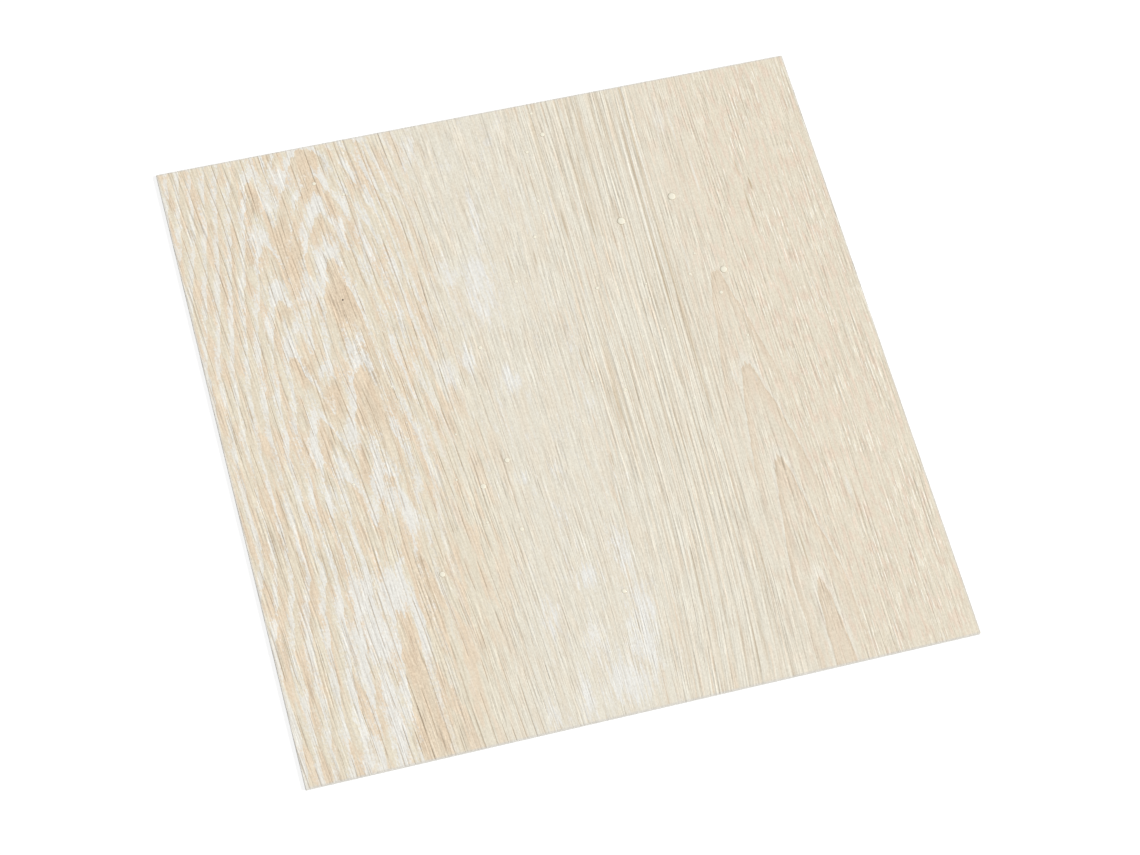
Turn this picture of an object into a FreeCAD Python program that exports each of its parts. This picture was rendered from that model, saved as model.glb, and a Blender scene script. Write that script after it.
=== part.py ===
# Square vinyl floor tile, one piece of calendered PVC sheet with a printed wood face.
#
# The tile is punched out of a wide laminated sheet by a steel rule die that comes down on the face.
# The die leaves straight, square walls, a tiny radius at each corner of the outline, and a rolled
# edge round the face, while the edge round the back stays sharp.
#
# Lengths are in millimetres. +Z points up out of the printed face, +Y runs along the printed grain,
# and the origin is the middle of the back, which lies on the sub-floor.

import FreeCAD
import Part
import Sketcher

import os

# What the tile is called, and the folder that its solid goes to
TILE_NAME = "vinyl_tile"
PARTS_FOLDER = "parts"

# Driving dimensions: alias in the sheet, size, and what it measures
DRIVING_SIZES = (
    ("tile_width", 304.8, "across the grain, between the butting edges"),
    ("tile_length", 304.8, "along the grain, between the butting edges"),
    ("sheet_gauge", 1.5, "from the back to the printed face"),
    ("corner_radius", 0.5, "of the outline's four corners, as the die leaves them"),
    ("face_edge_roll", 0.2, "radius that the die presses round the face"),
)

SAME_PLACE = 1e-6


def size_sheet(doc):
    """A spreadsheet with one row for each driving dimension."""
    sheet = doc.addObject("Spreadsheet::Sheet", "sizes")
    for row, (alias, size, meaning) in enumerate(DRIVING_SIZES, start=1):
        sheet.set("A%d" % row, alias)
        sheet.set("B%d" % row, str(size))
        sheet.set("C%d" % row, meaning)
        sheet.setAlias("B%d" % row, alias)
    doc.recompute()
    return sheet


def origin_plane(body, role):
    """One of the body's own origin planes, found by its role."""
    return [plane for plane in body.Origin.OriginFeatures if plane.Role == role][0]


def outline_sketch(body):
    """The die's outline: a rectangle centred on the origin, before its corners are rounded."""
    sketch = body.newObject("Sketcher::SketchObject", "die_outline")
    sketch.AttachmentSupport = [(origin_plane(body, "XY_Plane"), "")]
    sketch.MapMode = "FlatFace"
    corners = [
        FreeCAD.Vector(-1, -1, 0),
        FreeCAD.Vector(1, -1, 0),
        FreeCAD.Vector(1, 1, 0),
        FreeCAD.Vector(-1, 1, 0),
    ]
    for start, end in zip(corners, corners[1:] + corners[:1]):
        sketch.addGeometry(Part.LineSegment(start, end), False)
    for side in range(4):
        sketch.addConstraint(Sketcher.Constraint("Coincident", side, 2, (side + 1) % 4, 1))
    for across in (0, 2):
        sketch.addConstraint(Sketcher.Constraint("Horizontal", across))
    for along in (1, 3):
        sketch.addConstraint(Sketcher.Constraint("Vertical", along))
    sketch.addConstraint(Sketcher.Constraint("Symmetric", 0, 1, 1, 2, -1, 1))
    width = sketch.addConstraint(Sketcher.Constraint("DistanceX", 0, 1, 0, 2, 2.0))
    length = sketch.addConstraint(Sketcher.Constraint("DistanceY", 1, 1, 1, 2, 2.0))
    sketch.setExpression("Constraints[%d]" % width, "sizes.tile_width")
    sketch.setExpression("Constraints[%d]" % length, "sizes.tile_length")
    return sketch


def edge_names(shape, wanted):
    """The names of the shape's edges that the test says are wanted."""
    return ["Edge%d" % (i + 1) for i, edge in enumerate(shape.Edges) if wanted(edge)]


def is_upright(edge):
    """True for a corner of the outline, which runs straight up from back to face."""
    start, end = (vertex.Point for vertex in edge.Vertexes)
    return abs(start.x - end.x) + abs(start.y - end.y) < SAME_PLACE < abs(start.z - end.z)


def bounds_the_face(shape):
    """A test for the edges that bound the printed face, which lies highest on the shape."""
    face_height = max(vertex.Z for vertex in shape.Vertexes)
    return lambda edge: all(abs(vertex.Z - face_height) < SAME_PLACE for vertex in edge.Vertexes)


def rounded(body, base, name, wanted, radius):
    """Rounds the wanted edges of the feature so far, to a radius from the sheet."""
    fillet = body.newObject("PartDesign::Fillet", name)
    fillet.Base = (base, edge_names(base.Shape, wanted))
    fillet.setExpression("Radius", radius)
    body.Document.recompute()
    return fillet


def tile_body(doc):
    """The punched tile: the sheet, its rounded corners, then the edge rolled round its face."""
    body = doc.addObject("PartDesign::Body", TILE_NAME)
    body.Label = TILE_NAME
    outline = outline_sketch(body)

    sheet_stock = body.newObject("PartDesign::Pad", "sheet_stock")
    sheet_stock.Profile = outline
    sheet_stock.setExpression("Length", "sizes.sheet_gauge")
    doc.recompute()

    die_corners = rounded(body, sheet_stock, "die_corners", is_upright, "sizes.corner_radius")
    round_the_face = bounds_the_face(die_corners.Shape)
    body.Tip = rounded(body, die_corners, "face_roll", round_the_face, "sizes.face_edge_roll")
    body.Placement = FreeCAD.Placement()
    doc.recompute()
    return body


def check(doc, bodies):
    """Stops if an object of the document failed, or a piece isn't one valid solid."""
    for item in doc.Objects:
        if {"Invalid", "Error"} & set(item.State):
            raise RuntimeError("%s failed: %s" % (item.Name, item.State))
    for body in bodies:
        if body.Shape.isNull() or not body.Shape.isValid() or len(body.Shape.Solids) != 1:
            raise RuntimeError("%s isn't one valid solid" % body.Label)


def main():
    doc = FreeCAD.newDocument("vinyl_floor_tile")
    size_sheet(doc)
    bodies = [tile_body(doc)]
    check(doc, bodies)
    os.makedirs(PARTS_FOLDER, exist_ok=True)
    for body in bodies:
        body.Shape.exportStep(os.path.join(PARTS_FOLDER, body.Label + ".step"))
        box = body.Shape.optimalBoundingBox()
        print(body.Label, "%.2f x %.2f x %.2f mm" % (box.XLength, box.YLength, box.ZLength))


main()
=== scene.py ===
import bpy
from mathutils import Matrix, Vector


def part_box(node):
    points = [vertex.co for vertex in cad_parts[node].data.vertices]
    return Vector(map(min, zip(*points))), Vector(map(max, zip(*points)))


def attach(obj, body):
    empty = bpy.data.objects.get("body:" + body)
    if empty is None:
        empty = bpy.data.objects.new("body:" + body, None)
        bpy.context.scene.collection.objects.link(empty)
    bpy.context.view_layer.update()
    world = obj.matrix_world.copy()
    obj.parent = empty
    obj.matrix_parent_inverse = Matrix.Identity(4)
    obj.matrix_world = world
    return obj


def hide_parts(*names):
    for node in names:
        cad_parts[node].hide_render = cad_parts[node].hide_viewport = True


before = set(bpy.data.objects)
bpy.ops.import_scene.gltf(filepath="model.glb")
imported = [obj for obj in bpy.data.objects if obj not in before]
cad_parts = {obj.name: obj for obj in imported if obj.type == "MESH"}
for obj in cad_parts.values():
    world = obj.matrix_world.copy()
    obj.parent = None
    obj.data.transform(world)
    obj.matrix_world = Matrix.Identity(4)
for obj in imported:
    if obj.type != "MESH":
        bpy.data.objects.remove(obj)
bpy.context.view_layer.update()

import math

import bpy
from mathutils import Matrix, Vector

# Vinyl tile
# A square punched from sheet: a core of PVC filled with ground limestone, a printed film of limed
# oak on top, and a clear wear layer that is embossed along the grain while the sheet is hot.

MM = 0.001
TILE_LOW, TILE_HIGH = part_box("vinyl_tile")
TILE_SIDE = (TILE_HIGH.x - TILE_LOW.x) / MM
TILE_GAUGE = (TILE_HIGH.z - TILE_LOW.z) / MM
CORNER_RADIUS = 0.5
FACE_ROLL = 0.2
EMBOSS_DEPTH = 0.09
EMBOSS_CONTRAST = 1.6
WELD_DISTANCE = 0.002

# Columns of the face's mesh across the grain and rows along it, how many of them shape the rolled
# edge on each side, and a length in mm that counts as none
COLUMNS = 800
ROWS = 112
ROLL_STEPS = 6
NEAR_ZERO = 0.0001

# Odd steps through the noise, for each seed and each line, so that no two patterns are alike
SEED_STEP = (17.31, 9.73)
LINE_SHIFT = 5.17
LINE_STEP = 3.71

# Where one kind of grain passes into the next, in mm to the right of the middle of the tile
FLOW_STRAIGHTENS = (-70.0, 20.0)
RINGS_END = (-62.0, -22.0)
DEEP_PORES_END = (-60.0, -15.0)
WASH_STARTS = (-75.0, -35.0)
WASH_ENDS = (5.0, 60.0)
CORDUROY_STARTS = (14.0, 24.0)
CORDUROY_ENDS = (62.0, 82.0)
TICKS_START = (70.0, 125.0)
CREAM_STARTS = (-60.0, -20.0)
TAN_STREAKS_START = (-20.0, 25.0)
WARM_STARTS = (50.0, 110.0)
FINE_HUES_START = (40.0, 90.0)

# How far inside the outline the painted shade along the edge of the print begins and where it is full,
# in mm
EDGE_PAINTED_SHADE_SPAN = (1.1, 0.1)

# Colours of the print and the core as they look on a screen, from 0 to 255. Each of the three
# grounds runs from a paler to a deeper hue.
OAK_GROUND = ((232, 223, 202), (233, 215, 190))
CREAM_GROUND = ((233, 227, 211), (233, 224, 206))
WARM_GROUND = ((232, 223, 203), (234, 217, 197))
STREAK_TAN = (230, 209, 184)
FURROW_BROWN = (214, 194, 162)
RING_BROWN = (229, 208, 181)
ARCH_TAN = (229, 212, 189)
WASH_LIME = (239, 238, 233)
RING_LIME = (239, 237, 230)
ARCH_LIME = (240, 236, 224)
# Partly print and partly painted highlight: the light ticks stand for embossed grooves catching the
# light
TICK_PAINTED_HIGHLIGHT = (243, 238, 225)
# Partly print and partly painted highlight beside the dark seams
FIBRE_LIGHT_AND_HIGHLIGHT = (243, 239, 228)
CRACK_BROWN = (196, 174, 144)
FIBRE_BROWN = (196, 178, 150)
# Partly print and partly painted shade: the hairline darkens the inner side of each narrow arch's light
# line
HAIRLINE_BROWN_AND_SHADE = (200, 184, 160)
PINHOLE_BROWN = (70, 56, 46)
# Painted shade: the face turns greyer in a narrow band along its outline, darkening its edge
EDGE_PAINTED_SHADE = (218, 214, 206)
# Painted light: the walls are the same filled PVC as the back, painted lighter than it so that the edge
# in shade reads light
WALL_PAINTED_LIGHT_GREY = (226, 223, 215)
BACK_GREY = (205, 203, 196)
LIMESTONE_SPECKLE = 9

# How much the light and dark of the fibres changes the red, the green and the blue of the print
TONE_SHARES = (0.2, 0.22, 0.24)


class Term:
    """One output of a node, for use in Python expressions that add Math nodes to its tree."""

    def __init__(self, maker, socket):
        self.maker = maker
        self.socket = socket

    def math(self, operation, *values):
        sockets = dict(enumerate(values))
        return self.maker.add("ShaderNodeMath", {"operation": operation}, sockets)

    def __add__(self, other):
        return self.math("ADD", self, other)

    def __sub__(self, other):
        return self.math("SUBTRACT", self, other)

    def __mul__(self, other):
        return self.math("MULTIPLY", self, other)

    def __truediv__(self, other):
        return self.math("DIVIDE", self, other)

    def __radd__(self, other):
        return self.math("ADD", other, self)

    def __rsub__(self, other):
        return self.math("SUBTRACT", other, self)

    def __rmul__(self, other):
        return self.math("MULTIPLY", other, self)

    def __rtruediv__(self, other):
        return self.math("DIVIDE", other, self)

    def __neg__(self):
        return self.math("MULTIPLY", self, -1.0)

    def __abs__(self):
        return self.math("ABSOLUTE", self)

    def __lt__(self, other):
        return self.math("LESS_THAN", self, other)

    def __gt__(self, other):
        return self.math("GREATER_THAN", self, other)

    def floor(self):
        return self.math("FLOOR", self)

    def fraction(self):
        return self.math("FRACT", self)

    def root(self):
        return self.math("SQRT", self)

    def sine(self):
        return self.math("SINE", self)

    def sign(self):
        return self.math("SIGN", self)

    def power(self, exponent):
        return self.math("POWER", self, exponent)

    def least(self, other):
        return self.math("MINIMUM", self, other)

    def most(self, other):
        return self.math("MAXIMUM", self, other)

    def smooth_most(self, other, blend):
        return self.math("SMOOTH_MAX", self, other, blend)

    def clamped(self):
        return self.maker.add("ShaderNodeClamp", {}, {0: self})


class NodeMaker:
    """Adds nodes to one tree, in a shader or in Geometry Nodes alike."""

    def __init__(self, tree):
        self.tree = tree

    def add(self, kind, settings, sockets, output=0):
        """A new node of that kind: its settings first, then the value or link of each socket."""
        node = self.tree.nodes.new(kind)
        for name, setting in settings.items():
            setattr(node, name, setting)
        for key, value in sockets.items():
            if isinstance(value, Term):
                self.link(value, node, key)
            else:
                node.inputs[key].default_value = value
        return Term(self, node.outputs[output]) if node.outputs else None

    def link(self, term, node, key):
        self.tree.links.new(term.socket, node.inputs[key])

    def vector(self, x, y, z=0.0):
        return self.add("ShaderNodeCombineXYZ", {}, {0: x, 1: y, 2: z})

    def parts(self, vector):
        split = self.add("ShaderNodeSeparateXYZ", {}, {0: vector}).socket.node
        return [Term(self, output) for output in split.outputs]

    def group(self, name, make, **given):
        """Puts what the function makes of the given values in a node group of its own. The function
        takes them by name, and returns its outputs by name."""
        tree = bpy.data.node_groups.new(name, self.tree.bl_idname)
        for key in given:
            tree.interface.new_socket(key, in_out="INPUT", socket_type="NodeSocketFloat")
        entry = tree.nodes.new("NodeGroupInput")
        inside = NodeMaker(tree)
        made = make(inside, **{key: Term(inside, entry.outputs[key]) for key in given})
        for key in made:
            tree.interface.new_socket(key, in_out="OUTPUT", socket_type="NodeSocketFloat")
        leave = tree.nodes.new("NodeGroupOutput")
        for key, term in made.items():
            tree.links.new(term.socket, leave.inputs[key])
        kind = self.tree.bl_idname.replace("Tree", "Group")
        node = self.add(kind, {"node_tree": tree}, given).socket.node
        return {key: Term(self, node.outputs[key]) for key in made}

    def noise(self, x, y, seed, detail=1.0, roughness=0.5):
        """Cloudy noise from 0 to 1 with one swell for each unit of x and y, another for each seed."""
        place = self.vector(x + seed * SEED_STEP[0], y + seed * SEED_STEP[1])
        settings = {"noise_dimensions": "2D"}
        sockets = {"Vector": place, "Scale": 1.0, "Detail": detail, "Roughness": roughness}
        return self.add("ShaderNodeTexNoise", settings, sockets)

    def rise(self, value, low, high):
        """0 below low and 1 above high, with a soft step between."""
        settings = {"interpolation_type": "SMOOTHSTEP"}
        sockets = {"Value": value, "From Min": low, "From Max": high}
        return self.add("ShaderNodeMapRange", settings, sockets)

    def ramp(self, value, low, high):
        """0 below low and 1 above high, with a straight line between."""
        return self.add("ShaderNodeMapRange", {}, {"Value": value, "From Min": low, "From Max": high})

    def hump(self, value, middle, half_width):
        """1 at the middle, falling softly to 0 at a half width on either side."""
        return 1.0 - self.rise(abs(value - middle), 0.0, half_width)

    def spot(self, place, middle, half_size, inner=0.0):
        """1 within the inner part of an ellipse, falling softly to 0 at its rim."""
        scale = (1.0 / half_size[0], 1.0 / half_size[1], 0.0)
        shift = (-middle[0] * scale[0], -middle[1] * scale[1], 0.0)
        settings = {"operation": "MULTIPLY_ADD"}
        away = self.add("ShaderNodeVectorMath", settings, {0: place, 1: scale, 2: shift})
        away = self.add("ShaderNodeVectorMath", {"operation": "LENGTH"}, {0: away}, 1)
        settings = {"interpolation_type": "SMOOTHSTEP"}
        sockets = {"Value": away, "From Min": inner, "From Max": 1.0, "To Min": 1.0, "To Max": 0.0}
        return self.add("ShaderNodeMapRange", settings, sockets)

    def blend(self, share, first, second):
        """The first colour where the share is 0, and the second where it is 1."""
        settings = {"data_type": "RGBA"}
        return self.add("ShaderNodeMix", settings, {0: share, 6: first, 7: second}, 2)


# Arches of flat-sawn grain, which point up the tile: where the crisp edge of each growth ring
# crosses the middle of the arch, in mm up the tile, where that middle lies across it, how many mm
# apart the rings are on its left and on its right, and how blunt its tip is, in rings
WIDE_ARCH = {
    "heights": (152.4, 134.4, 114.4, 90.8, 34.4, -17.6, -85.6, -285.6),
    "middle": -84.0, "left_pitch": 7.0, "right_pitch": 6.3, "bluntness": 1.0,
}
SIDE_ARCH = {
    "heights": (138.4, 107.6, 76.8, 49.4, 14.4, -18.6, -85.6, -285.6),
    "middle": -111.0, "left_pitch": 5.8, "right_pitch": 4.2, "bluntness": 0.8,
}
NARROW_ARCH = {
    "heights": (146.4, 47.4, -1.6, -50.6, -110.6, -260.6),
    "middle": 88.0, "left_pitch": 6.8, "right_pitch": 7.6, "bluntness": 0.8,
}

# Patches where the lime wash lies thick, or is missing where the strength is below zero: x and y of
# the middle, half width and half length in mm, and strength. The soft rim of each reaches further,
# by these shares across and along.
PATCH_REACH = (1.6, 1.5)
LIME_PATCHES = (
    (-14.0, 97.0, 2.5, 14.0, 0.8),
    (-21.0, 62.0, 7.0, 18.0, 0.9),
    (-33.0, 73.0, 5.0, 9.0, 0.8),
    (-36.0, 138.0, 3.5, 6.0, 0.8),
    (21.0, 96.0, 2.5, 9.0, 0.4),
    (40.5, 96.0, 2.0, 9.0, 0.4),
    (4.0, 141.0, 4.0, 7.0, 0.4),
    (-35.0, 29.0, 3.0, 9.0, 1.0),
    (-45.0, 25.0, 5.0, 6.0, 1.0),
    (-19.5, 13.0, 5.0, 6.0, 1.0),
    (13.0, 30.0, 2.5, 6.0, 0.6),
    (13.0, -4.0, 2.5, 14.0, 0.5),
    (-9.5, -33.0, 3.0, 6.0, 0.5),
    (-26.0, -34.0, 3.5, 6.0, 0.6),
    (-13.0, -55.0, 3.0, 8.0, 0.6),
    (7.5, -76.0, 3.5, 13.0, 0.9),
    (-10.5, -86.5, 6.0, 6.0, 1.0),
    (-31.0, -100.0, 4.0, 8.0, 0.8),
    (9.5, -108.0, 5.0, 16.0, 1.0),
    (-25.0, -141.0, 4.0, 10.0, 0.9),
    (-42.0, -146.0, 3.0, 8.0, 0.8),
    (-5.0, -138.0, 12.0, 11.0, 0.9),
    (5.0, -124.0, 7.0, 14.0, 0.8),
    (-14.0, -121.0, 7.0, 12.0, 0.6),
    (34.8, -84.5, 2.0, 5.0, 0.5),
    (58.0, -104.0, 2.0, 16.0, 0.5),
    (82.0, -6.0, 2.5, 4.0, 0.6),
    (92.5, -5.0, 1.5, 4.0, 0.6),
    (77.0, 57.0, 3.0, 5.0, 0.5),
    (84.5, 131.0, 3.5, 9.0, 0.6),
    (-97.0, 138.0, 5.0, 7.0, 1.0),
    (-105.0, 126.0, 4.0, 9.0, 0.8),
    (-116.0, 109.0, 3.5, 7.0, 0.7),
    (-76.5, 137.0, 2.0, 6.0, 0.8),
    (-71.0, 122.0, 1.6, 8.0, 0.8),
    (-67.0, 98.0, 1.6, 18.0, 0.8),
    (-82.5, 121.5, 4.5, 5.0, 1.0),
    (-94.0, 108.0, 2.5, 5.0, 1.0),
    (-75.5, 107.0, 1.8, 8.0, 0.7),
    (-84.5, 97.0, 5.5, 5.0, 1.0),
    (-98.0, 76.0, 5.5, 7.0, 0.9),
    (-112.0, 82.0, 6.0, 3.5, 0.9),
    (-119.5, 66.0, 1.5, 7.0, 0.8),
    (-110.0, 60.0, 4.5, 5.0, 0.8),
    (-57.0, 78.0, 2.5, 9.0, 0.8),
    (-98.0, 38.0, 4.5, 5.5, 1.0),
    (-95.0, 4.0, 4.0, 8.0, 0.8),
    (-113.0, 0.0, 3.5, 6.0, 0.7),
    (-123.0, 36.0, 2.0, 9.0, 0.7),
    (-85.0, -30.0, 3.5, 10.0, 0.8),
    (-79.0, -42.0, 3.5, 10.0, 0.8),
    (-110.0, -24.0, 3.0, 6.0, 0.7),
    (-65.0, 0.0, 2.5, 12.0, 0.6),
    (-108.0, -72.0, 5.0, 14.0, 0.9),
    (-106.0, -93.0, 7.0, 16.0, 1.0),
    (-97.0, -74.0, 6.0, 10.0, 0.9),
    (-87.0, -94.0, 2.5, 18.0, 1.0),
    (-107.5, -130.0, 4.0, 28.0, 1.0),
    (-116.0, -98.0, 4.0, 18.0, 0.8),
    (-137.0, -95.0, 2.0, 25.0, 0.6),
    (-120.0, -140.0, 3.0, 12.0, 0.7),
    (-84.0, 141.0, 5.5, 12.0, -1.0),
    (-77.5, 123.0, 2.0, 9.0, -0.9),
    (-102.0, 102.0, 7.0, 19.0, -1.0),
    (-112.0, 133.0, 4.0, 7.0, -0.9),
    (-103.0, 149.0, 5.0, 4.0, -0.8),
    (-84.0, 110.0, 3.5, 3.5, -1.0),
    (-84.0, 70.0, 7.0, 19.0, -1.0),
    (-82.0, 22.0, 6.0, 30.0, -0.8),
    (-111.0, 71.0, 4.0, 5.0, -0.8),
    (-108.0, 40.0, 4.5, 8.0, -1.0),
    (-99.0, 22.0, 5.0, 11.0, -1.0),
    (-105.0, 5.0, 3.0, 6.0, -0.8),
    (-93.0, -112.0, 5.0, 24.0, -1.0),
    (-91.0, -140.0, 10.0, 18.0, -1.0),
    (-81.0, -78.0, 3.5, 24.0, -0.9),
    (-139.0, -30.0, 9.0, 60.0, -0.3),
)

# Fibres that stand out by themselves: how far across the fibres, top and bottom in mm, half width,
# and tone, which is dark below zero and light above. The light ones beside the dark seams are partly
# painted highlight.
LONE_FIBRES = (
    (62.0, 190.0, 20.0, 1.3, -0.4),
    (62.3, 150.0, 70.0, 0.5, -1.0),
    (61.5, 90.0, 10.0, 0.5, -1.0),
    (63.2, 150.0, 30.0, 0.5, 0.9),
    (60.6, 150.0, 30.0, 0.6, 0.7),
    (66.0, 190.0, 10.0, 1.3, -0.4),
    (66.3, 190.0, 80.0, 0.6, -1.1),
    (65.9, 100.0, 0.0, 0.5, -1.1),
    (67.6, 180.0, 60.0, 0.6, 0.8),
    (64.4, 170.0, 60.0, 0.4, 0.7),
    (66.6, 40.0, -40.0, 0.5, -0.8),
    (70.5, -76.0, -120.0, 0.5, -0.8),
    (59.5, -120.0, -152.0, 0.5, -0.8),
    (16.5, 127.0, 94.0, 0.4, -0.8),
    (15.6, 26.0, 8.0, 0.5, -1.0),
    (15.6, -29.0, -40.0, 0.5, -0.8),
    (13.8, -64.0, -80.0, 0.5, -0.8),
    (25.6, 97.0, 75.0, 0.9, -0.8),
    (37.2, 100.0, 70.0, 0.7, -0.9),
    (25.4, 8.0, -24.0, 0.9, -0.9),
    (39.8, -75.0, -123.0, 0.9, -0.7),
    (-3.5, 80.0, 63.0, 0.5, -0.8),
    (8.2, 78.0, 66.0, 0.5, -0.8),
    (117.2, 93.0, 83.0, 0.6, -1.6),
    (113.2, 88.0, 63.0, 0.5, -1.1),
    (113.3, 104.0, 92.0, 0.5, -0.9),
    (136.0, 101.0, 94.0, 0.35, -0.8),
    (118.6, 48.0, 43.0, 0.5, -0.9),
    (124.6, -6.0, -13.0, 0.5, -0.9),
    (117.9, -64.0, -95.0, 0.4, -0.8),
    (88.6, -80.0, -110.0, 0.5, -0.9),
    (83.0, 148.0, 116.0, 1.0, 0.7),
    (88.0, 140.0, 112.0, 0.8, 0.8),
    (92.0, 112.0, 84.0, 0.8, 0.9),
    (116.0, -63.0, -79.0, 1.2, 0.8),
)

# A small eye and a dark pinhole in the printed grain: middle and half size in mm
EYE_MIDDLE = (-96.2, 12.8)
EYE_HALF_SIZE = (5.5, 4.5)
PINHOLE_MIDDLE = (-83.4, 70.4)
PINHOLE_HALF_SIZE = (0.6, 0.6)


def fibre_flow(nodes, x, y):
    """How far across the fibres a place lies, in mm. They lean to the right going down the left of
    the tile, run almost straight down its right, and bend to the left at the foot of its middle."""
    swell = nodes.noise(x / 45.0, y / 110.0, 1.0) - 0.5
    kink = nodes.noise(x / 8.0, y / 45.0, 2.0) - 0.5
    right = nodes.rise(x, *FLOW_STRAIGHTENS)
    lean = 0.075 - 0.075 * right - 0.03 * nodes.hump(x, 62.0, 45.0)
    bend = (y + 40.0).least(0.0)
    bend = bend * bend * 0.0006 * nodes.hump(x, 30.0, 48.0)
    return {"across": x + lean * y + bend + (swell * 4.0 + kink * 1.2) * (1.0 - 0.8 * right)}


def line_set(nodes, number, y, seed, length, half_width, share):
    """Thin lines along the grain, one for each whole step of the number. Each comes and goes by
    itself over about that length in mm, and the share says how much of it shows."""
    number = number + seed * LINE_SHIFT
    alive = nodes.noise(number.floor() * LINE_STEP, y / length, seed)
    alive = nodes.rise(alive, 0.62 - share * 0.4, 0.72 - share * 0.4)
    return nodes.hump(number.fraction(), 0.5, half_width) * alive


def fibre_lines(nodes, x, y, across):
    """What runs along the grain: "tone" is the print's light and dark, "emboss" the broad ribs that
    the press leaves, from -1 to 1, "height" the fine grooves and fibres, in mm, and the rest how
    much of a tick, a crack or a furrow a place is."""
    left = 1.0 - nodes.rise(x, *DEEP_PORES_END)
    corded = nodes.rise(x, *CORDUROY_STARTS) * (1.0 - nodes.rise(x, *CORDUROY_ENDS))
    corded = corded * (1.0 - 0.3 * nodes.rise(-y, 50.0, 100.0))
    drift = nodes.noise(across / 12.0, y / 220.0, 4.0) * 1.1
    lively = 0.4 + 1.0 * nodes.rise(nodes.noise(across / 9.0, y / 35.0, 27.0), 0.38, 0.62)
    ribs = nodes.noise(across / 3.2, y / 80.0, 3.0) - 0.5
    cords = nodes.noise(across / 1.35, y / 120.0, 6.0, 1.0, 0.7) - 0.5
    furrows = nodes.rise(-cords, 0.03, 0.2) * corded
    cords = cords * (0.15 + 0.85 * corded)
    cracks = line_set(nodes, across / 4.6 + drift, y, 31.0, 22.0, 0.09, 0.5) * (0.35 + 0.65 * left)
    pores = line_set(nodes, across / 3.1 + drift, y, 22.0, 24.0, 0.18, 0.5) * (0.5 + 0.5 * left)
    fine_pores = line_set(nodes, across / 1.5 + drift * 2.0, y, 23.0, 12.0, 0.34, 0.5) * lively
    fibre = (nodes.noise(across, y / 18.0, 5.0) - 0.5) * lively
    mottle = nodes.noise(across / 1.5, y / 4.0, 26.0, 1.0, 0.8) - 0.5
    grain = nodes.noise(across / 0.9, y / 1.2, 28.0, 1.0, 0.8) - 0.5
    # Light ticks, partly a painted highlight of the embossing
    ticks = line_set(nodes, across / 1.6 + drift, y, 24.0, 6.0, 0.28, 0.3)
    ticks = ticks * (0.15 + 0.85 * nodes.rise(x, *TICKS_START)) * lively
    tone = ribs * 0.3 + cords * 0.95 + fibre * 1.35 + mottle * 0.6 + grain * 1.2
    tone = tone - cracks * 0.28 - pores * 0.24 - fine_pores * 0.3 + ticks * 0.2
    emboss = ribs * 0.6 + cords * 1.2
    height = cords * 0.26 + fibre * 0.1 + grain * 0.03 + ticks * 0.03
    height = height - cracks * 0.08 - pores * 0.06 - fine_pores * 0.04
    return {"tone": tone, "emboss": emboss, "height": height, "ticks": ticks, "cracks": cracks,
            "furrows": furrows}


def ring_number(nodes, arch, across, along, middle):
    """Growth rings counted inwards from the top of the tile, for one arch of flat-sawn grain, and
    how many of them lie between a place and the middle of the arch."""
    heights = arch["heights"]
    rings = ((heights[0] - along) / (heights[0] - heights[1])).least(0.0)
    for upper, lower in zip(heights, heights[1:]):
        rings = rings + nodes.ramp(along, upper, lower)
    aside = across - middle
    sideways = aside.most(0.0) / arch["right_pitch"] + aside.least(0.0) / arch["left_pitch"]
    blunt = arch["bluntness"]
    aside_rings = (sideways * sideways + blunt * blunt).root() - blunt
    return rings - aside_rings, aside_rings


def growth_rings(nodes, x, y):
    """The ring numbers of the broad figure on the left, where two arches run into each other, and
    of the narrow arches on the right."""
    warp = nodes.noise(x / 18.0, y / 40.0, 9.0) - 0.5
    place = x + warp * 5.0
    height = y + warp * 10.0
    wide_middle = WIDE_ARCH["middle"] - 9.0 * nodes.rise(-y, 10.0, 90.0)
    side_middle = SIDE_ARCH["middle"] + 16.0 * nodes.rise(-y, -60.0, 90.0)
    narrow_middle = NARROW_ARCH["middle"] - 0.012 * y
    wide, wide_aside = ring_number(nodes, WIDE_ARCH, place, height, wide_middle)
    side, side_aside = ring_number(nodes, SIDE_ARCH, place, height, side_middle)
    warp = nodes.noise(x / 14.0, y / 40.0, 15.0) - 0.5
    place = x + warp * 3.0
    height = y + warp * 8.0
    narrow, narrow_aside = ring_number(nodes, NARROW_ARCH, place, height, narrow_middle)
    return {
        "broad_rings": wide.smooth_most(side, 0.35), "broad_aside": wide_aside.least(side_aside),
        "narrow_rings": narrow, "narrow_aside": narrow_aside,
    }


def lime_share(nodes, x, y, across):
    """Where the lime wash lies thick, up to 1, and where it is missing, down to -1, in ragged
    patches."""
    shift = nodes.noise(across / 2.6, y / 8.0, 25.0, 1.0, 0.7) - 0.5
    place = nodes.vector(x + shift * 7.0, y + shift * 20.0)
    thick = shift * 0.0
    bare = thick
    for middle_x, middle_y, half_width, half_length, strength in LIME_PATCHES:
        half_size = (half_width * PATCH_REACH[0], half_length * PATCH_REACH[1])
        patch = nodes.spot(place, (middle_x, middle_y), half_size, 0.2) * abs(strength)
        if strength > 0.0:
            thick = thick.most(patch)
        else:
            bare = bare.most(patch)
    return {"lime_share": thick - bare}


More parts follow.
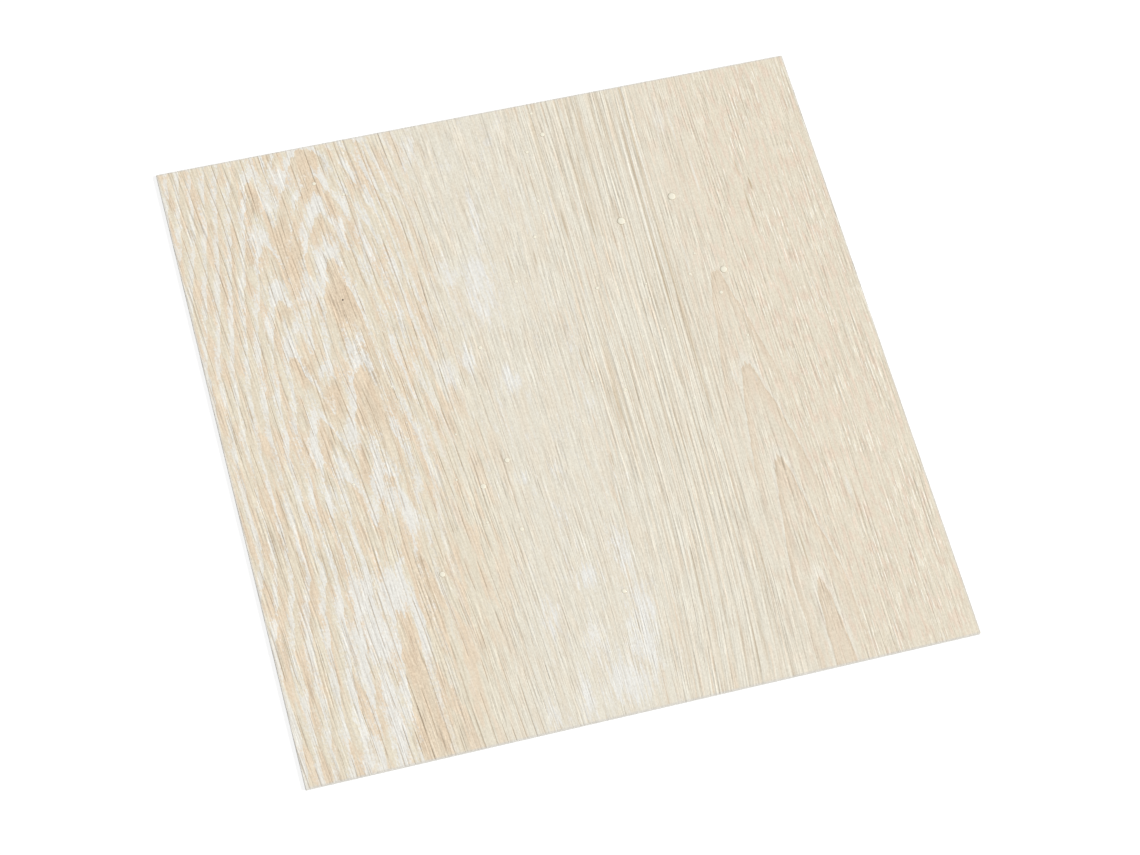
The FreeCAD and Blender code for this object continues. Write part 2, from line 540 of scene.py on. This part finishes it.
def broad_figure(nodes, x, y, across, rings, aside, patches):
    """Lime that fills each growth ring on the left, ragged along the grain and thickest at the top
    of each arch, and the deeper brown that starts each ring."""
    teeth = nodes.noise(across / 1.2, y / 12.0, 10.0, 1.0, 0.8) - 0.5
    tongues = nodes.noise(across / 3.5, y / 12.0, 20.0) - 0.5
    cloud = nodes.noise(across / 6.0, y / 16.0, 11.0, 2.0, 0.6) - 0.5
    speck = nodes.noise(across / 1.1, y / 1.6, 12.0, 1.0, 0.8) - 0.5
    flank = nodes.rise(aside, 1.0, 3.0)
    outer = flank * (1.0 - nodes.rise(x, -110.0, -90.0))
    strand = (nodes.noise(across / 1.3, y / 60.0, 33.0, 1.0, 0.7) - 0.5) * (flank - outer)
    cap = 1.0 - nodes.rise(aside, 0.1, 1.1)
    ring = (rings + teeth * 0.26 + tongues * 0.36).fraction()
    band = nodes.rise(ring, 0.35, 0.85) * (1.0 - nodes.rise(ring, 0.95, 1.0))
    cover = band * (0.75 + cap * 0.3 + outer * 0.3 + cloud * 1.8) + patches * (0.82 - band * 0.35)
    cover = cover + cloud * 0.7 + speck * 1.8 + teeth * (1.3 - outer * 0.3) + strand * 2.7
    share = 1.0 - nodes.rise(x - (y - 60.0).least(0.0) * 0.22, *RINGS_END)
    share = share * (0.85 + 0.15 * nodes.rise(x, -140.0, -115.0))
    deep = (0.4 * (1.0 - nodes.rise(ring, 0.0, 0.5))).most(-patches) * share
    return {"lime": nodes.rise(cover, 0.05, 1.15) * share, "deep": deep}


def lime_wash(nodes, x, y, across, thick):
    """Lime wash between the two figures: streaks along the grain, and the thick patches."""
    drift = nodes.noise(across / 4.0, y / 26.0, 13.0, 2.0, 0.65) - 0.5
    streak = nodes.noise(across / 1.1, y / 9.0, 14.0, 1.0, 0.9) - 0.5
    speck = nodes.noise(across / 1.1, y / 1.6, 29.0, 1.0, 0.8) - 0.5
    share = nodes.rise(x, *WASH_STARTS) * (1.0 - nodes.rise(x, *WASH_ENDS))
    cover = thick + drift * 1.5 * share.most(thick) + streak * 1.6 + speck * 0.9
    return {"lime": nodes.rise(cover, 0.0, 1.2) * (0.15 + 0.85 * share).most(thick)}


def narrow_figure(nodes, y, across, rings, aside):
    """The narrow arches on the right, each a thin light line with a darker tan inside it, and a brown
    hairline just inside the light line that is partly painted shade.
    """
    teeth = nodes.noise(across / 1.2, y / 12.0, 16.0) - 0.5
    share = (1.0 - nodes.rise(aside, 0.8, 1.5)) * (0.3 + 0.7 * nodes.rise(rings, 0.97, 1.0))
    ring = (rings + teeth * 0.14).fraction()
    line = nodes.rise(ring, 0.8, 0.94) * (1.0 - nodes.rise(ring, 0.985, 1.0))
    # Brown hairline, partly painted shade, just inside the light line
    hairline = nodes.hump(ring, 0.03, 0.05)
    deep = 1.0 - nodes.rise(ring, 0.0, 0.55)
    return {"lime": line * share, "hairline": hairline * share, "deep": deep * share}


def lone_fibres(nodes, across, y):
    """The fibres that stand out by themselves: how light and how dark a place is. The light is partly
    a painted highlight.
    """
    place = nodes.vector(across, y)
    light = y * 0.0
    dark = light
    for fibre_x, top, bottom, half_width, tone in LONE_FIBRES:
        middle = (fibre_x, (top + bottom) / 2.0)
        line = nodes.spot(place, middle, (half_width, (top - bottom) / 2.0), 0.4) * abs(tone)
        if tone > 0.0:
            light = light.most(line)
        else:
            dark = dark.most(line)
    return {"light": light, "dark": dark}


def colour(red, green, blue):
    """A colour given as it looks on a screen, from 0 to 255, in the linear light that nodes use."""
    channels = [value / 255.0 for value in (red, green, blue)]
    linear = [c / 12.92 if c <= 0.04045 else ((c + 0.055) / 1.055) ** 2.4 for c in channels]
    return (*linear, 1.0)


def new_material(name, levels):
    """A node material with a plain surface at those levels, its node maker and the surface."""
    material = bpy.data.materials.new(name)
    material.use_nodes = True
    material.node_tree.nodes.clear()
    nodes = NodeMaker(material.node_tree)
    surface = nodes.add("ShaderNodeBsdfPrincipled", {}, levels)
    nodes.add("ShaderNodeOutputMaterial", {}, {"Surface": surface})
    return material, nodes, surface.socket.node


def place_in_mm(nodes):
    """The three coordinates on the tile, in mm."""
    objects = nodes.add("ShaderNodeTexCoord", {}, {}, "Object")
    return [axis / MM for axis in nodes.parts(objects)]


def printed_face():
    """Limed oak, printed on film under a clear satin wear layer. The course of the fibres, the
    growth rings and the thick lime come from the face's own mesh, which holds them as attributes."""
    levels = {"Roughness": 0.46, "Specular IOR Level": 0.4}
    material, nodes, surface = new_material("printed_limed_oak", levels)
    x, y, _ = place_in_mm(nodes)
    kept = ("across", "broad_rings", "broad_aside", "narrow_rings", "narrow_aside", "lime_share")
    across, broad_rings, broad_aside, narrow_rings, narrow_aside, patches = [
        nodes.add("ShaderNodeAttribute", {"attribute_name": name}, {}, "Fac") for name in kept
    ]
    place = {"y": y, "across": across}
    fibres = nodes.group("fibre_lines", fibre_lines, x=x, **place)
    rings = {"rings": broad_rings, "aside": broad_aside, "patches": patches}
    broad = nodes.group("broad_figure", broad_figure, x=x, **place, **rings)
    wash = nodes.group("lime_wash", lime_wash, x=x, **place, thick=patches.most(0.0))
    narrow = nodes.group("narrow_figure", narrow_figure, **place, rings=narrow_rings, aside=narrow_aside)
    lone = nodes.group("lone_fibres", lone_fibres, across=across, y=y)

    right = nodes.rise(x, *FINE_HUES_START)
    hue = nodes.noise(across / 5.0, y / 26.0, 17.0, 2.0, 0.65) * (1.0 - right)
    hue = hue + nodes.noise(across / 2.2, y / 10.0, 19.0, 1.0, 0.6) * right
    hue = nodes.rise(hue, 0.44, 0.62 + 0.1 * right)
    grounds = (OAK_GROUND, CREAM_GROUND, WARM_GROUND)
    oak, cream, warm = [nodes.blend(hue, colour(*pale), colour(*deep)) for pale, deep in grounds]
    base = nodes.blend(nodes.rise(x - (y + 60.0).least(0.0) * 0.3, *CREAM_STARTS), oak, cream)
    base = nodes.blend(nodes.rise(x, *WARM_STARTS), base, warm)

    streak = nodes.rise(nodes.noise(across / 1.6, y / 30.0, 21.0), 0.6, 0.74)
    streak = streak * nodes.rise(x, *TAN_STREAKS_START) * (0.5 - 0.25 * right)
    eye = nodes.spot(nodes.vector(x, y), EYE_MIDDLE, EYE_HALF_SIZE)
    pinhole = nodes.spot(nodes.vector(x, y), PINHOLE_MIDDLE, PINHOLE_HALF_SIZE, 0.4)
    # Painted shade, greyer towards the outline of the face
    edge_shade_start, edge_shade_full = [TILE_SIDE / 2.0 - inset for inset in EDGE_PAINTED_SHADE_SPAN]
    rim = nodes.rise(abs(x).most(abs(y)), edge_shade_start, edge_shade_full)
    layers = (
        (streak, STREAK_TAN),
        (fibres["furrows"] * 0.35, FURROW_BROWN),
        (broad["deep"] * 0.8, RING_BROWN),
        (narrow["deep"] * 0.8, ARCH_TAN),
        (wash["lime"] * 0.9, WASH_LIME),
        (broad["lime"] * 0.95, RING_LIME),
        (narrow["lime"] * 0.5, ARCH_LIME),
        # light ticks, partly painted highlight
        (fibres["ticks"] * 0.6, TICK_PAINTED_HIGHLIGHT),
        # light fibres, partly painted highlight
        (lone["light"] * 0.8, FIBRE_LIGHT_AND_HIGHLIGHT),
        (fibres["cracks"] * 0.5, CRACK_BROWN),
        (nodes.hump(eye, 0.3, 0.3) * 0.2, FIBRE_BROWN),
        (pinhole, PINHOLE_BROWN),
        (lone["dark"] * 0.7, FIBRE_BROWN),
        # hairline, partly painted shade
        (narrow["hairline"] * 0.3, HAIRLINE_BROWN_AND_SHADE),
        # painted shade along the outline of the face
        (rim * 0.85, EDGE_PAINTED_SHADE),
    )
    for share, tint in layers:
        base = nodes.blend(share, base, colour(*tint))

    tone = fibres["tone"] * (1.0 + 0.6 * broad["deep"])
    tones = [1.0 + tone * share for share in TONE_SHARES]
    shade = nodes.add("ShaderNodeCombineColor", {}, dict(enumerate(tones)))
    settings = {"data_type": "RGBA", "blend_type": "MULTIPLY"}
    print_colour = nodes.add("ShaderNodeMix", settings, {0: 1.0, 6: base, 7: shade}, 2)
    nodes.link(print_colour, surface, "Base Color")
    sockets = {"Height": fibres["height"], "Distance": MM, "Strength": 1.0}
    grooved = nodes.add("ShaderNodeBump", {}, sockets)
    nodes.link(grooved, surface, "Normal")
    return material


def filled_pvc(name, tone):
    """The core's pale grey plastic, speckled by the ground limestone in it."""
    material, nodes, surface = new_material(name, {"Roughness": 0.6})
    x, y, z = place_in_mm(nodes)
    speckle = nodes.noise((x + z) * 3.0, (y + z) * 3.0, 10.0, 2.0, 0.7)
    darker = [channel - LIMESTONE_SPECKLE for channel in tone]
    shade = nodes.blend(nodes.rise(speckle, 0.35, 0.65), colour(*darker), colour(*tone))
    nodes.link(shade, surface, "Base Color")
    return material


def new_tree(name, values):
    """A Geometry Nodes tree with geometry in and out and one named input for each value, as the
    node maker that fills it and its inputs by name."""
    tree = bpy.data.node_groups.new(name, "GeometryNodeTree")
    for in_out in ("INPUT", "OUTPUT"):
        tree.interface.new_socket("Geometry", in_out=in_out, socket_type="NodeSocketGeometry")
    for key, value in values.items():
        kind = "NodeSocketInt" if isinstance(value, int) else "NodeSocketFloat"
        tree.interface.new_socket(key, in_out="INPUT", socket_type=kind)
    nodes = NodeMaker(tree)
    entry = tree.nodes.new("NodeGroupInput")
    return nodes, {output.name: Term(nodes, output) for output in entry.outputs if output.name}


def spread(unit, count, steps, half, radius):
    """How far from the middle a column or row lies, and on which side: evenly spaced up to where
    the corners start to turn, and from there closing up towards the outline."""
    quarter_turn = math.pi / 2.0
    last = count - 1.0
    number = unit * last
    inner = last * 0.5 - steps
    away = abs(number)
    beyond = ((away - inner) / steps).most(0.0)
    outer = half - radius + radius * (beyond * quarter_turn).sine()
    even = away / inner * (half - radius)
    inside = beyond < NEAR_ZERO
    return even * inside + outer * (1.0 - inside), number.sign()


def tile_nodes(values, printed, wall, back):
    """Geometry Nodes that build the tile: its face with the rolled edge and the embossing, its
    walls and its back."""
    nodes, given = new_tree("embossed_tile", values)
    columns, rows, steps = given["Columns"], given["Rows"], given["Roll steps"]
    radius, roll = given["Corner radius"], given["Face roll"]
    half = given["Side"] * 0.5

    sockets = {"Size X": 1.0, "Size Y": 1.0, "Vertices X": columns, "Vertices Y": rows}
    sheet = nodes.add("GeometryNodeMeshGrid", {}, sockets)
    unit_x, unit_y, _ = nodes.parts(nodes.add("GeometryNodeInputPosition", {}, {}))
    size_x, sign_x = spread(unit_x, columns, steps, half, radius)
    size_y, sign_y = spread(unit_y, rows, steps, half, radius)
    past_x = (size_x - (half - radius)).most(0.0)
    past_y = (size_y - (half - radius)).most(0.0)
    ring = past_x.most(past_y)
    reach = (past_x * past_x + past_y * past_y).root().most(NEAR_ZERO)
    round_off = ring / reach
    x = sign_x * (size_x - past_x + past_x * round_off)
    y = sign_y * (size_y - past_y + past_y * round_off)
    inset = radius - ring
    under = (roll - inset).most(0.0)
    fall = roll - (roll * roll - under * under).most(0.0).root()

    kept = nodes.group("fibre_flow", fibre_flow, x=x, y=y)
    across = kept["across"]
    kept.update(nodes.group("growth_rings", growth_rings, x=x, y=y))
    kept.update(nodes.group("lime_share", lime_share, x=x, y=y, across=across))
    for name, value in kept.items():
        sockets = {"Geometry": sheet, "Name": name, "Value": value}
        sheet = nodes.add("GeometryNodeStoreNamedAttribute", {}, sockets)

    fibres = nodes.group("fibre_lines_relief", fibre_lines, x=x, y=y, across=across)
    carved = (0.5 - fibres["emboss"] * EMBOSS_CONTRAST).clamped() * given["Emboss depth"]
    carved = carved * nodes.rise(inset, 0.0, radius)
    z = given["Gauge"] - fall - carved
    place = nodes.vector(x * MM, y * MM, z * MM)
    face = nodes.add("GeometryNodeSetPosition", {}, {"Geometry": sheet, "Position": place})
    face = nodes.add("GeometryNodeSetMaterial", {}, {"Geometry": face, "Material": printed})
    face = nodes.add("GeometryNodeSetShadeSmooth", {}, {"Geometry": face, "Shade Smooth": True})

    neighbours = nodes.add("GeometryNodeInputMeshEdgeNeighbors", {}, {})
    settings = {"data_type": "INT", "operation": "EQUAL"}
    rim = nodes.add("FunctionNodeCompare", settings, {2: neighbours, 3: 1})
    drop = nodes.vector(0.0, 0.0, (given["Gauge"] - roll) * -MM)
    sockets = {"Mesh": face, "Selection": rim, "Offset": drop, "Offset Scale": 1.0}
    walled = nodes.add("GeometryNodeExtrudeMesh", {"mode": "EDGES"}, sockets)
    foot, side = [Term(nodes, walled.socket.node.outputs[name]) for name in ("Top", "Side")]
    sockets = {"Geometry": walled, "Selection": side, "Material": wall}
    walled = nodes.add("GeometryNodeSetMaterial", {}, sockets)
    sockets = {"Geometry": walled, "Selection": side, "Shade Smooth": False}
    walled = nodes.add("GeometryNodeSetShadeSmooth", {}, sockets)

    outline = nodes.add("GeometryNodeMeshToCurve", {}, {"Mesh": walled, "Selection": foot})
    base = nodes.add("GeometryNodeFillCurve", {"mode": "NGONS"}, {"Curve": outline})
    base = nodes.add("GeometryNodeFlipFaces", {}, {"Mesh": base})
    base = nodes.add("GeometryNodeSetMaterial", {}, {"Geometry": base, "Material": back})
    base = nodes.add("GeometryNodeSetShadeSmooth", {}, {"Geometry": base, "Shade Smooth": False})
    whole = nodes.add("GeometryNodeJoinGeometry", {}, {"Geometry": base})
    nodes.link(walled, whole.socket.node, "Geometry")
    sockets = {"Geometry": whole, "Distance": WELD_DISTANCE * MM}
    whole = nodes.add("GeometryNodeMergeByDistance", {}, sockets)
    whole = nodes.add("GeometryNodeRealizeInstances", {}, {"Geometry": whole})
    nodes.add("NodeGroupOutput", {}, {"Geometry": whole})
    return nodes.tree


def built(name, tree, values, start_mesh):
    """A plain mesh object from a Geometry Nodes tree, the values of its named inputs and the mesh
    that it starts from."""
    start = bpy.data.objects.new(name + "_start", start_mesh)
    bpy.context.scene.collection.objects.link(start)
    modifier = start.modifiers.new("build", "NODES")
    modifier.node_group = tree
    for item in tree.interface.items_tree:
        if item.in_out == "INPUT" and item.name in values:
            modifier[item.identifier] = values[item.name]
    evaluated = start.evaluated_get(bpy.context.evaluated_depsgraph_get())
    mesh = bpy.data.meshes.new_from_object(evaluated)
    mesh.name = name
    piece = bpy.data.objects.new(name, mesh)
    bpy.context.scene.collection.objects.link(piece)
    bpy.data.objects.remove(start)
    return piece


tile_values = {
    "Side": TILE_SIDE, "Gauge": TILE_GAUGE, "Corner radius": CORNER_RADIUS, "Face roll": FACE_ROLL,
    "Emboss depth": EMBOSS_DEPTH, "Columns": COLUMNS, "Rows": ROWS, "Roll steps": ROLL_STEPS,
}
# The walls' grey is painted lighter than the back's, as painted light
wall = filled_pvc("filled_pvc_wall_painted_light", WALL_PAINTED_LIGHT_GREY)
back = filled_pvc("filled_pvc_back", BACK_GREY)
tile_tree = tile_nodes(tile_values, printed_face(), wall, back)
tile = built("embossed_tile", tile_tree, tile_values, bpy.data.meshes.new("tile_start"))
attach(tile, "root")
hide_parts("vinyl_tile")

# Water beads
# About forty drops of clear water, 1 to 4 mm across, that lie on the wear layer in the photo. They
# are a condition of the surface, and no part of the tile. Each drop is a low dome.

BEAD_HEIGHT_SHARE = 0.07
BEAD_SINK = 0.04
BEAD_SEGMENTS = 20
BEAD_RINGS = 16
# Painted light in the middle of each drop of clear water, and painted shade round its rim
WATER_PAINTED_LIGHT = (255, 250, 231)
WATER_PAINTED_SHADE = (208, 195, 170)

# Place of each bead from the middle of the tile, across it and up it, and diameter, in mm
BEADS = (
    (79.0, 89.4, 4.0), (52.2, 82.0, 4.0), (92.0, 47.0, 3.6), (28.2, 134.8, 2.4),
    (26.0, 147.0, 1.6), (-3.8, 62.2, 2.0), (-30.6, -24.0, 2.6), (-72.2, -70.6, 2.8),
    (54.4, -60.2, 2.2), (-28.4, 33.0, 2.0), (-32.8, -57.8, 2.2), (10.6, 82.6, 1.8),
    (31.8, 50.6, 1.7), (41.0, 49.0, 1.3), (54.6, 47.8, 1.2), (54.2, 40.2, 1.2),
    (75.8, 48.2, 1.5), (81.0, 58.0, 1.3), (87.4, 35.8, 1.9), (18.6, 127.2, 1.8),
    (17.0, 115.0, 1.0), (17.0, 100.8, 1.4), (17.6, 93.8, 1.2), (-72.2, 22.8, 1.3),
    (46.0, 22.0, 1.3), (56.6, 23.4, 1.3), (93.2, 11.8, 1.4), (16.8, 5.2, 1.4),
    (-34.4, 10.6, 1.0), (-49.8, -6.6, 1.2), (33.6, 10.8, 1.1), (30.4, -2.2, 2.0),
    (7.6, -13.2, 1.3), (60.0, -13.4, 1.2), (-55.0, -28.2, 1.2), (-46.8, -51.2, 1.5),
    (-46.6, -61.6, 1.0), (-82.4, 132.2, 1.9), (-70.4, 123.8, 1.5), (-100.0, -20.0, 1.4),
    (-44.2, -34.0, 2.8), (3.6, -96.6, 2.2),
)


def clear_water():
    """Water, painted pale where light comes through the drop and painted darker round its rim as shade.
    """
    levels = {"Alpha": 0.9, "Roughness": 0.12, "IOR": 1.33}
    material, nodes, surface = new_material("clear_water", levels)
    rim = nodes.add("ShaderNodeAttribute", {"attribute_name": "rim"}, {}, "Fac")
    # painted light in the middle, painted shade towards the rim
    tint = nodes.blend(nodes.rise(rim, 0.78, 0.97), colour(*WATER_PAINTED_LIGHT), colour(*WATER_PAINTED_SHADE))
    nodes.link(tint, surface, "Base Color")
    return material


def bead_nodes(values, water):
    """Geometry Nodes that set a low dome on each point, as wide as the point's diameter says. The
    dome is a ball with a flattened crown and its lower half pressed flat."""
    nodes, given = new_tree("water_beads", values)
    sockets = {"Segments": given["Segments"], "Rings": given["Rings"], "Radius": 1.0}
    dome = nodes.add("GeometryNodeMeshUVSphere", {}, sockets)
    x, y, z = nodes.parts(nodes.add("GeometryNodeInputPosition", {}, {}))
    rim = (x * x + y * y).root()
    sockets = {"Geometry": dome, "Name": "rim", "Value": rim}
    dome = nodes.add("GeometryNodeStoreNamedAttribute", {}, sockets)
    crown = 1.0 - rim.power(4.0)
    place = nodes.vector(x, y, crown * given["Height share"] * 2.0 * (z > NEAR_ZERO))
    dome = nodes.add("GeometryNodeSetPosition", {}, {"Geometry": dome, "Position": place})
    dome = nodes.add("GeometryNodeSetShadeSmooth", {}, {"Geometry": dome})
    settings = {"data_type": "FLOAT"}
    diameter = nodes.add("GeometryNodeInputNamedAttribute", settings, {"Name": "diameter"})
    radius = diameter * (MM / 2.0)
    scale = nodes.vector(radius, radius, radius)
    sockets = {"Points": given["Geometry"], "Instance": dome, "Scale": scale}
    beads = nodes.add("GeometryNodeInstanceOnPoints", {}, sockets)
    beads = nodes.add("GeometryNodeRealizeInstances", {}, {"Geometry": beads})
    beads = nodes.add("GeometryNodeSetMaterial", {}, {"Geometry": beads, "Material": water})
    nodes.add("NodeGroupOutput", {}, {"Geometry": beads})
    return nodes.tree


bead_values = {"Height share": BEAD_HEIGHT_SHARE, "Segments": BEAD_SEGMENTS, "Rings": BEAD_RINGS}
bead_tree = bead_nodes(bead_values, clear_water())
bead_foot = TILE_GAUGE - BEAD_SINK
points = bpy.data.meshes.new("bead_places")
points.from_pydata([(x * MM, y * MM, bead_foot * MM) for x, y, _ in BEADS], [], [])
diameters = points.attributes.new("diameter", "FLOAT", "POINT")
diameters.data.foreach_set("value", [diameter for _, _, diameter in BEADS])
beads = built("water_beads", bead_tree, bead_values, points)
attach(beads, "root")

# Floor
# A plain white studio floor that the tile lies on. It isn't part of the tile. A gap thinner than
# paper keeps it from sharing a plane with the back.

FLOOR_REACH = 3000.0 * MM
FLOOR_LEVEL = -0.05 * MM
FLOOR_WHITE = (250, 250, 250)
FLOOR_GLOW = 1.1
FLOOR_GLOW_SHARE = 0.75
WHITE_LIGHT = (1.0, 1.0, 1.0, 1.0)


def seen_share(nodes):
    """1 for what the camera sees straight on, in a reflection or through glass, and 0 for the
    light that falls on the tile."""
    rays = nodes.add("ShaderNodeLightPath", {}, {}).socket.node.outputs
    kinds = ("Is Camera Ray", "Is Glossy Ray", "Is Transmission Ray")
    seen, mirrored, through = [Term(nodes, rays[kind]) for kind in kinds]
    return seen.most(mirrored).most(through)


def studio_white():
    """White paint, which the camera sees mostly as plain white light, so that the background is
    white and the tile keeps a soft shadow."""
    levels = {"Base Color": colour(*FLOOR_WHITE), "Roughness": 1.0, "Specular IOR Level": 0.0}
    material, nodes, surface = new_material("studio_white", levels)
    glow = nodes.add("ShaderNodeEmission", {}, {"Color": WHITE_LIGHT, "Strength": FLOOR_GLOW})
    sockets = {0: seen_share(nodes) * FLOOR_GLOW_SHARE, 1: Term(nodes, surface.outputs[0]), 2: glow}
    white = nodes.add("ShaderNodeMixShader", {}, sockets)
    nodes.link(white, nodes.tree.nodes["Material Output"], "Surface")
    return material


sides = ((-1.0, -1.0), (1.0, -1.0), (1.0, 1.0), (-1.0, 1.0))
corners = [(x * FLOOR_REACH, y * FLOOR_REACH, FLOOR_LEVEL) for x, y in sides]
floor_mesh = bpy.data.meshes.new("studio_floor")
floor_mesh.from_pydata(corners, [], [(0, 1, 2, 3)])
floor_mesh.materials.append(studio_white())
floor = bpy.data.objects.new("studio_floor", floor_mesh)
bpy.context.scene.collection.objects.link(floor)

# Light
# A pale room, and a lamp from the front right that is low enough to draw out the embossing. The
# room is plain white to the camera, and dimmer where it lights the tile.

ROOM_LIGHT = 0.42
LAMP_STRENGTH = 2.8
LAMP_WIDTH = math.radians(12.0)
TOWARDS_LAMP = Vector((0.9, -0.3, 0.75))

world = bpy.data.worlds.new("studio")
world.use_nodes = True
bpy.context.scene.world = world
room_nodes = NodeMaker(world.node_tree)
room = world.node_tree.nodes["Background"]
room.inputs["Color"].default_value = WHITE_LIGHT
room_strength = ROOM_LIGHT + (1.0 - ROOM_LIGHT) * seen_share(room_nodes)
room_nodes.link(room_strength, room, "Strength")

lamp = bpy.data.lights.new("lamp", "SUN")
lamp.energy = LAMP_STRENGTH
lamp.angle = LAMP_WIDTH
hung_lamp = bpy.data.objects.new("lamp", lamp)
hung_lamp.rotation_euler = TOWARDS_LAMP.to_track_quat("Z", "Y").to_euler()
bpy.context.scene.collection.objects.link(hung_lamp)

# Camera
# It looks down on the tile from the front left with a long lens, and is rolled so that the tile
# leans to the left.

CAMERA_AIM = Vector((1.41, -14.24, 0.0)) * MM
CAMERA_PLACE = Vector((-243.42, -532.01, 1214.03)) * MM
CAMERA_ROLL = math.radians(11.148)
LENS = 94.11
SENSOR_WIDTH = 36.0

camera_data = bpy.data.cameras.new("camera")
camera_data.lens = LENS
camera_data.sensor_width = SENSOR_WIDTH
camera = bpy.data.objects.new("camera", camera_data)
bpy.context.scene.collection.objects.link(camera)
aim = (CAMERA_AIM - CAMERA_PLACE).to_track_quat("-Z", "Y").to_matrix().to_4x4()
camera.matrix_world = Matrix.Translation(CAMERA_PLACE) @ aim @ Matrix.Rotation(CAMERA_ROLL, 4, "Z")
bpy.context.scene.camera = camera

bpy.context.scene.view_settings.view_transform = "Standard"
